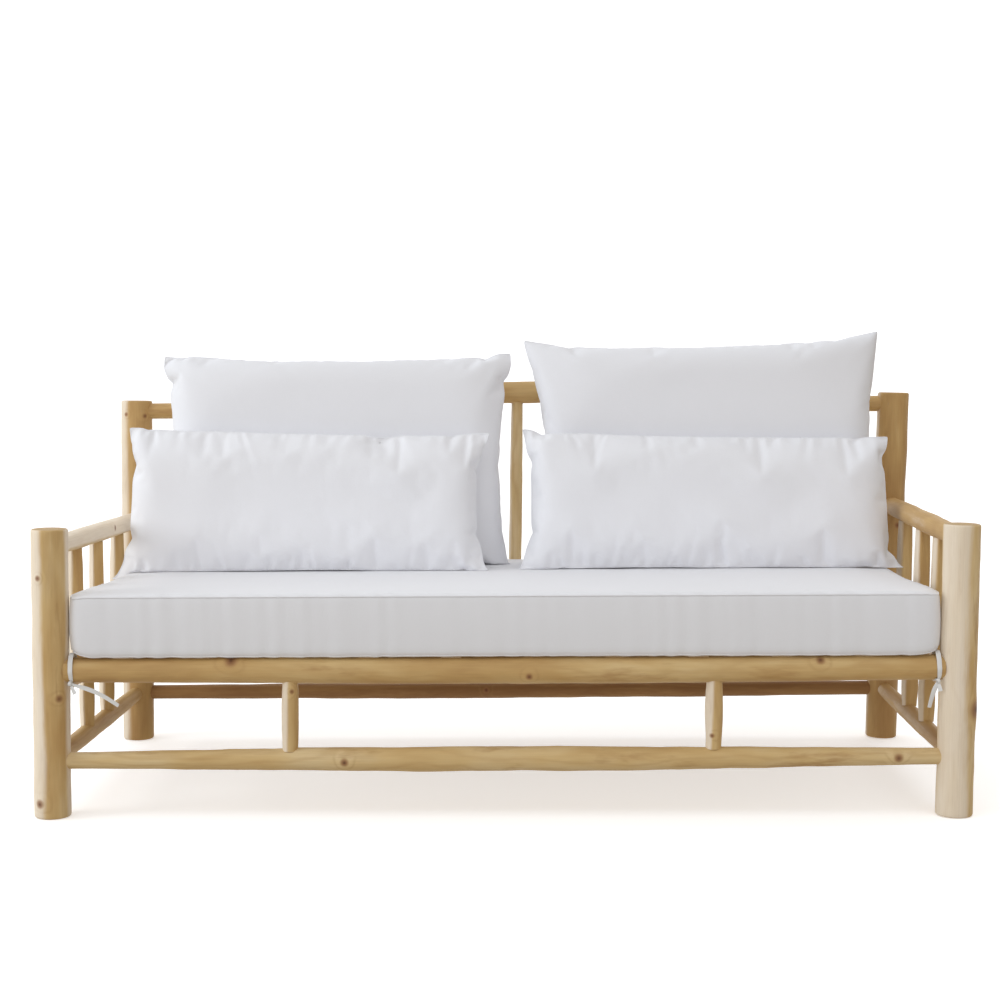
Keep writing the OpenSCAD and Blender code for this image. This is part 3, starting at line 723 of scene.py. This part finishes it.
def mattress_ripple(v):
    """Upright wrinkles from 0 to 1, strongest near the seams and uneven along the sides"""
    if edge_gap(v.co) > side_wave:
        return 0
    along_edge = v.co.x + v.co.y
    near_seam = 0.25 + 0.75 * abs(2 * up_share(v.co) - 1)
    uneven = 0.4 + 0.6 * sin(3.1 * along_edge + 1) ** 2
    return (0.5 + 0.5 * wave(along_edge * 0.8, 2.0)) * near_seam * uneven


def front_lift(y):
    """How far the top stands up along the front, where no cushion presses it down"""
    return 0.012 * (1 - smoothstep(0.04, 0.40, y - low.y))


# Its top is highest along the front, its sides belly out, and the cloth ripples
for vertex in mattress.data.vertices:
    vertex.co.z += front_lift(vertex.co.y) * smoothstep(0.4, 1.0, up_share(vertex.co))
push(mattress, top_rim, -0.003, "Z")
push(mattress, belly, 0.003)
push(mattress, mattress_ripple, 0.0022)

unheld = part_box("seat_slat_1")[0].y - low.y  # from the front of the mattress to the slats' ends


def overhang(v):
    """How freely a point of the underside hangs: 1 beyond the slats' ends, less at the very edge"""
    gap = size.y / 2 - abs(v.co.y - centre.y)
    past_slats = 1 - smoothstep(unheld - 0.006, unheld + 0.002, gap)
    off_edge = 0.45 + 0.55 * smoothstep(0.0, 0.014, gap)
    return past_slats * off_edge * (1 - smoothstep(0.04, 0.4, up_share(v.co)))


def corner_share(v):
    """1 at the upright corners, fading to 0 along the sides"""
    gap_x = size.x / 2 - abs(v.co.x - centre.x)
    gap_y = size.y / 2 - abs(v.co.y - centre.y)
    return 1 - smoothstep(0.0, 0.042, sqrt(max(0, gap_x) ** 2 + max(0, gap_y) ** 2))


# Its underside sags over the long rails, its corners are rounded off, and its top is uneven
push(mattress, overhang, -0.0078, "Z")
push(mattress, lambda v: corner_share(v) * (1 - smoothstep(0.0, 0.4, up_share(v.co))), 0.010, "Z")
push(mattress, lambda v: corner_share(v) * smoothstep(0.7, 1.0, up_share(v.co)), -0.004, "Z")
push(mattress, lambda v: smoothstep(0.02, 0.1, edge_gap(v.co)) * smoothstep(0.8, 0.95, up_share(v.co)),
     0.0025, grain_size=0.16)


def seam_cord(piece, path, radius, name):
    """A thin closed cord of folded cloth along a seam, joined to the piece"""
    curve = bpy.data.curves.new(name, "CURVE")
    curve.dimensions = "3D"
    line = curve.splines.new("POLY")
    line.points.add(len(path) - 1)
    for point, place in zip(line.points, path):
        point.co = (*place, 1)
    line.use_cyclic_u = True
    curve.bevel_depth = radius
    curve.bevel_resolution = 2
    cord = bpy.data.objects.new(name, curve)
    bpy.context.scene.collection.objects.link(cord)
    select_only(cord)
    bpy.ops.object.convert(target="MESH")
    record(cord, "cloth", lambda v: v.co)
    piece.select_set(True)
    bpy.context.view_layer.objects.active = piece
    bpy.ops.object.join()


def outline(x0, x1, y0, y1, radius, step):
    """Points round a rectangle with rounded corners"""
    points = []
    for cx, cy, turn in ((x1 - radius, y1 - radius, 0), (x0 + radius, y1 - radius, 1),
                         (x0 + radius, y0 + radius, 2), (x1 - radius, y0 + radius, 3)):
        for k in range(7):
            a = (turn + k / 6) * pi / 2
            points.append(Vector((cx + radius * cos(a), cy + radius * sin(a), 0)))
    even = []
    for a, b in zip(points, points[1:] + points[:1]):
        cuts = max(1, round((b - a).length / step))
        even += [a.lerp(b, i / cuts) for i in range(cuts)]
    return even


select_only(mattress)
bpy.context.view_layer.update()
seam_radius = 0.0011
welts = []
for level, lift, radius in ((low.z - 0.006, 0, seam_radius), (high.z - 0.007, 1, 0.0015)):
    path = []
    for point in outline(low.x, high.x, low.y, high.y, corner_radius, 0.012):
        point.z = level + lift * front_lift(point.y)
        _, spot, normal, _ = mattress.closest_point_on_mesh(point)
        path.append(spot + normal * 0.0004)
    welts.append((path, radius))
record(mattress, "cloth", lambda v: (v.co.x + v.co.y, v.co.z, 0) if edge_gap(v.co) < side_depth
       else v.co)
for k, (path, radius) in enumerate(welts):
    seam_cord(mattress, path, radius, f"welt_{k}")
smooth(mattress)
mattress.data.materials.append(white_cotton("mattress_cotton", (0.86, 0.862, 0.89), 0.10))
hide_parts("mattress_cover", "mattress_core")
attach(mattress, "frame")


# ------------------------------------------------------------------ Back and lumbar cushions
# Each is two oblong panels of white cotton sewn together at a knife edge and filled with fibre,
# which swells in the middle, draws the sides in and leaves the corners as ears. The seams gather.
cushion_cotton = white_cotton("cushion_cotton", (0.88, 0.882, 0.915), 0.16)

# How deep the weight presses the foot, and its spread; then how far in and up each change reaches
press = 0.020
foot_widening, foot_deepening = 0.022, 0.05
waist_reach = 0.10
ear_reach, ear_height = 0.06, 0.055
brow_reach, brow_drop = 0.05, 0.045
tip_length, tip_reach = 0.005, 0.016
toe_height = 0.035
droop, droop_height, droop_reach = 0.016, 0.05, 0.03


def fold_seams(cushion, width, height, shift, counts, reach, depth, bin_width=0.02):
    """Presses soft folds into the cloth, running in from the bottom and the top seam"""
    chance = Random(round(1000 * shift))
    bins = {}
    for edge, count in zip((-1, 1), counts):
        for side in (-1, 1):
            for k in range(count):
                start = width * ((k + chance.uniform(0.1, 0.9)) / count - 0.5) * 0.94
                fold = (edge, start, chance.uniform(-0.35, 0.35), chance.uniform(*reach),
                        chance.uniform(0.0045, 0.0090), depth * chance.uniform(0.45, 1.2))
                first, last = (whole((start + way * 0.06) / bin_width) for way in (-1, 1))
                for i in range(first, last + 1):
                    bins.setdefault((side, i), []).append(fold)
    cut = cushion.data.attributes["cloth"].data
    moves = []
    for vertex in cushion.data.vertices:
        across, up, _ = cut[vertex.index].vector
        across -= shift
        side = 1 if up > 0 else -1
        up -= side
        if abs(up) > height / 2:
            continue
        move = 0
        near = bins.get((side, whole(across / bin_width)), ())
        for edge, start, slant, length, thick, deep in near:
            run = height / 2 - edge * up
            if run >= length:
                continue
            t = (across - start - slant * run) / (thick * (1 + run / length))
            ridge = 0.8 * exp(-(t - 1.7) ** 2) - exp(-t * t) + 0.35 * exp(-(t + 1.7) ** 2)
            move += deep * ridge * smoothstep(0, 0.010, run) * (1 - run / length) ** 1.2
        if move:
            moves.append((vertex, vertex.normal * move))
    for vertex, move in moves:
        vertex.co += move


def make_cushion(name, flat, half_thickness, lean, gather, reach, phase, top_slope=0.0, waist=(0, 0),
                 ears=(0, 0), brow=(0, 0), crown=0.0, folds=(10, 10), fold_reach=(0.03, 0.06),
                 fold_depth=0.0012, toe=0.0, cell=0.0075, swell_frames=24):
    """Two flat panels sewn round, blown up by cloth simulation, leant back and set down.
    The waist draws its left and right sides in at mid-height, the ears spread its lower corners,
    the brow fills its sides out below the upper corners, and the crown lifts its top. The folds
    are counted along its bottom and its top seam, and the toe is how far its foot slid forwards."""
    width, height = flat
    low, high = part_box(name + "_cover")
    centre = (low + high) / 2
    bpy.ops.object.select_all(action="DESELECT")
    bpy.ops.mesh.primitive_grid_add(x_subdivisions=round(width / cell), size=1,
                                    y_subdivisions=round(height / cell), rotation=(pi / 2, 0, 0))
    cushion = bpy.context.object
    cushion.name = name
    cushion.scale = (width, height, 1)
    bpy.ops.object.transform_apply()
    bpy.ops.object.mode_set(mode="EDIT")
    bpy.ops.mesh.select_all(action="SELECT")
    bpy.ops.mesh.duplicate()
    bpy.ops.mesh.flip_normals()
    bpy.ops.object.mode_set(mode="OBJECT")
    record(cushion, "cloth", lambda v: (v.co.x + 3 * phase, v.co.z + (1 if v.select else -1), 0))
    for vertex in cushion.data.vertices:
        x, _, z = vertex.co
        side = 1 if vertex.select else -1
        gap_x, gap_z = width / 2 - abs(x), height / 2 - abs(z)
        if min(gap_x, gap_z) < 1e-5:
            continue
        k = phase + 1.3 * side + (2.1 if z > 0 else 0)
        length = reach * (0.6 + 0.7 * (1 + sin(23 * x + k)) / 2)
        level = 0.45 + 0.55 * sin(17 * x + k) ** 2
        upright = (wave(x, k) * level * min(1, gap_z / 0.01) * exp(-gap_z / length)
                   * min(1, gap_x / 0.05) * min(1, 2.5 * (1 - 2 * gap_z / height)))
        sideways = (0.6 * wave(z, k + 4) * min(1, gap_x / 0.01) * exp(-gap_x / 0.035)
                    * min(1, gap_z / 0.04))
        vertex.co.y = 0.002 * side + gather * (upright + sideways)
    bpy.ops.object.mode_set(mode="EDIT")
    bpy.ops.mesh.select_all(action="SELECT")
    bpy.ops.mesh.remove_doubles(threshold=1e-5)
    bpy.ops.mesh.normals_make_consistent(inside=False)
    bpy.ops.object.mode_set(mode="OBJECT")

    def seam_gap(v):
        return min(width / 2 - abs(v.co.x), height / 2 - abs(v.co.z))

    border = [v for v in cushion.data.vertices if seam_gap(v) < 1e-5]
    border.sort(key=lambda v: atan2(v.co.z / height, v.co.x / width))
    border = [v.index for v in border]
    cloth = cushion.modifiers.new("cloth", "CLOTH")
    swell = cloth.settings
    swell.quality = 5
    swell.bending_stiffness = 0.3
    swell.use_pressure = True
    swell.uniform_pressure_force = 4
    swell.effector_weights.gravity = 0
    cloth.collision_settings.use_collision = False
    for step in range(1, swell_frames + 1):
        bpy.context.scene.frame_set(step)
        blown = cushion.evaluated_get(bpy.context.evaluated_depsgraph_get())
        if max(abs(v.co.y) for v in blown.data.vertices) >= half_thickness:
            break
    bpy.ops.object.modifier_apply(modifier="cloth")
    bpy.context.scene.frame_set(1)

    # The tightest creases ease, away from the seam
    sewn = set(border)
    inner = [v.index for v in cushion.data.vertices if v.index not in sewn]
    cushion.vertex_groups.new(name="inner").add(inner, 1, "REPLACE")
    select_only(cushion)
    modify(cushion, "relax", "SMOOTH", vertex_group="inner", factor=0.5, iterations=2)
    cushion.vertex_groups.remove(cushion.vertex_groups["inner"])

    # Its sides, top and ears settle unevenly, and its corners stay pointed
    for vertex in cushion.data.vertices:
        x, _, z = vertex.co
        flat_x, flat_z, _ = cushion.data.attributes["cloth"].data[vertex.index].vector
        flat_x -= 3 * phase
        flat_z -= 1 if flat_z > 0 else -1
        corner = width / 2 - abs(flat_x) + height / 2 - abs(flat_z)
        up = min(1, max(0, z / height + 0.5))
        half, way = (0, -1) if x < 0 else (1, 1)
        near_side = max(0, width / 2 - abs(x))
        pinch = waist[half] * exp(-near_side / waist_reach) * sin(pi * up)
        spread = ears[half] * exp(-near_side / ear_reach) * exp(-up * height / ear_height)
        under_ear = (1 - up) * height / brow_drop
        fullness = brow[half] * exp(-near_side / brow_reach) * under_ear * exp(1 - under_ear)
        tip = tip_length * exp(-corner / tip_reach)
        arch = crown * up ** 2 * (1 - min(1, abs(2 * x / width)) ** 3)
        vertex.co.x += way * (spread - pinch + fullness + tip)
        vertex.co.z += top_slope * x * up + arch + tip * (1 if z > 0 else -1)

    # It leans back, and its weight flattens the foot and spreads the lower edge
    cushion.data.transform(Matrix.Translation(centre) @ Matrix.Rotation(-lean, 4, "X"))
    seat = low.z
    for vertex in cushion.data.vertices:
        drop = seat + press - vertex.co.z
        if drop > 0:
            squeeze = 1 - exp(-drop / press)
            vertex.co.z = seat + press * (1 - squeeze)
            vertex.co.x += (vertex.co.x - centre.x) * squeeze * foot_widening
            vertex.co.y += (vertex.co.y - centre.y) * squeeze * foot_deepening
        vertex.co.y -= toe * exp(-(vertex.co.z - seat) / toe_height)

    # The foot lies flat on the mattress, and a corner past the mattress's left edge hangs down
    foot = sorted(cushion.data.vertices[i].co.z for i in border)[len(border) // 6]
    for vertex in cushion.data.vertices:
        vertex.co.z = max(seat, vertex.co.z - foot + seat)
    rounded_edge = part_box("mattress_cover")[0].x + 0.015
    for vertex in cushion.data.vertices:
        past = rounded_edge - vertex.co.x
        if past > 0 and vertex.co.z < seat + droop_height:
            low_share = 1 - (vertex.co.z - seat) / droop_height
            vertex.co.z -= droop * smoothstep(0, droop_reach, past) * low_share
    select_only(cushion)
    modify(cushion, "finer", "SUBSURF", levels=1, render_levels=1)
    path = [cushion.data.vertices[i].co.copy() for i in border]
    fold_seams(cushion, width, height, 3 * phase, folds, fold_reach, fold_depth)
    seam_cord(cushion, path, seam_radius, name + "_seam")
    smooth(cushion)
    cushion.data.materials.append(cushion_cotton)
    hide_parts(name + "_cover", name + "_insert")
    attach(cushion, name)


back = dict(folds=(8, 14), fold_reach=(0.025, 0.07))
lumbar = dict(top_slope=-0.0266, folds=(17, 11), fold_reach=(0.04, 0.13), fold_depth=0.0022, toe=0.020)
make_cushion("left_back_cushion", (0.800, 0.520), 0.060, 0.157, 0.0016, 0.05, 0.7, top_slope=-0.0055,
             waist=(-0.008, -0.002), brow=(0.006, 0.006), crown=0.014, **back)
make_cushion("right_back_cushion", (0.800, 0.545), 0.058, 0.070, 0.0016, 0.05, 2.9, top_slope=0.019,
             waist=(0.016, -0.018), brow=(0.010, 0.002), crown=0.010, **back)
make_cushion("left_lumbar_cushion", (0.806, 0.334), 0.050, 0.175, 0.0042, 0.10, 4.4,
             waist=(-0.010, 0.022), ears=(0.040, -0.014), **lumbar)
make_cushion("right_lumbar_cushion", (0.812, 0.320), 0.050, 0.175, 0.0042, 0.10, 5.6,
             waist=(0.010, -0.010), ears=(0.004, 0.040), **lumbar)


# ------------------------------------------------------------------ Corner ties
# Cotton tapes, each sewn at its middle to a lower corner of the mattress. One half goes over and
# behind the seat rail and one down its front, and they are knotted below with two free ends.
tape_width = 0.010
tape_thickness = 0.0009
tape_camber = 0.0006
tape_step = 0.003
knot_radius = 0.0045
knot_drop = 0.0065  # from the loop's middle line out to the knot
loop_inset = 0.007  # from the side of the tape's CAD box
loop_radius = 0.0245
knot_angle = 138 * pi / 180  # down from the top of the rail
tape_cotton = white_cotton("tape_cotton", (0.83, 0.83, 0.82), 0.03)


def tie(node, rail_node, near_left, front, free_end, short_end):
    """A tape knotted round a rail; front is -1 at the front rail and 1 at the rear one"""
    low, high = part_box(node)
    rail_end = log_ends(rail_node, 0)[0 if near_left else 1]
    x = low.x + loop_inset if free_end[0] > 0 else high.x - loop_inset
    axis = Vector((x, rail_end.y, rail_end.z))
    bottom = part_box("mattress_cover")[0].z
    knot = axis + Vector((0, front * sin(knot_angle), cos(knot_angle))) * (loop_radius + knot_drop)
    route = []

    def lay(place, side, share):
        """Adds a point, the direction across the tape there, and its share of the full width"""
        route.append((place, Vector(side), share))

    # The long free end, a turn in the knot, the loop round the rail, the knot and the short end
    for i in range(9, -1, -1):
        t = i / 9
        bow = Vector((0, 0, 0.006 * sin(pi * t)))
        turn = t * 0.9
        lay(knot + Vector(free_end) * (0.06 + 0.94 * t) + bow, (-0.25, front * 0.35 * turn, 1),
            0.55 + 0.45 * min(1, 4 * t))
    for i in range(9):
        a = 2 * pi * i / 8 * 1.15
        lay(knot + knot_radius * Vector((cos(a), 0.35 * sin(2 * a), sin(a))), (0.2, 1, 0.2), 0.6)
    for i in range(31):
        share = i / 30
        a = knot_angle - 2 * pi * (1 - share)
        up = cos(a)
        slack = 0.0015 * sin(5 * a) ** 2
        if up > 0:
            slack += max(0, (bottom - axis.z + 0.001) / max(up, 0.5) - loop_radius) * up ** 6
        place = axis + Vector((0, front * sin(a), up)) * (loop_radius + slack)
        place.x += 0.004 * (share - 0.5)
        lay(place, (1, 0, 0), 1 - 0.35 * abs(2 * share - 1) ** 8)
    for i in range(8):
        a = 2 * pi * i / 8 + 0.6
        lay(knot + knot_radius * Vector((0.25 * sin(2 * a), cos(a), sin(a))), (1, 0.2, 0.1), 0.6)
    for i in range(1, 6):
        t = i / 5
        lay(knot + Vector(short_end) * (0.2 + 0.8 * t), (1, 0.3 * front, 0.3), 0.6 + 0.4 * t)

    steps = [0.0]
    for (a, _, _), (b, _, _) in zip(route, route[1:]):
        steps.append(steps[-1] + (b - a).length)
    length = steps[-1]
    bpy.ops.object.select_all(action="DESELECT")
    bpy.ops.mesh.primitive_grid_add(x_subdivisions=round(length / tape_step), y_subdivisions=4, size=1)
    tape = bpy.context.object
    tape.name = node + "_tape"
    record(tape, "cloth", lambda v: ((v.co.x + 0.5) * length, v.co.y * tape_width, 0))
    for vertex in tape.data.vertices:
        along, beside = (vertex.co.x + 0.5) * length, vertex.co.y
        k = max(i for i, step in enumerate(steps[:-1]) if step <= along + 1e-9)
        share = (along - steps[k]) / max(1e-9, steps[k + 1] - steps[k])
        (place, side, wide), (place_2, side_2, wide_2) = route[k], route[k + 1]
        forward = (place_2 - place).normalized()
        side = side.lerp(side_2, share)
        side = (side - forward * side.dot(forward)).normalized()
        camber = forward.cross(side) * tape_camber * (1 - 4 * beside ** 2)
        wide += (wide_2 - wide) * share
        vertex.co = place.lerp(place_2, share) + side * beside * tape_width * wide + camber
    modify(tape, "soft", "SMOOTH", iterations=3, factor=0.5)
    modify(tape, "wall", "SOLIDIFY", thickness=tape_thickness, offset=0)
    smooth(tape)
    bpy.ops.object.shade_smooth_by_angle(angle=0.9)
    tape.data.materials.append(tape_cotton)
    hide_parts(node)
    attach(tape, "frame")


tie("front_left_tie", "front_seat_rail", True, -1, (0.094, -0.006, -0.042), (0.010, -0.003, -0.020))
tie("front_right_tie", "front_seat_rail", False, -1, (-0.016, 0.004, -0.052), (0.004, -0.002, -0.020))
tie("rear_left_tie", "rear_seat_rail", True, 1, (0.034, 0.006, -0.058), (-0.003, 0.003, -0.022))
tie("rear_right_tie", "rear_seat_rail", False, 1, (-0.040, 0.008, -0.054), (0.003, 0.003, -0.022))
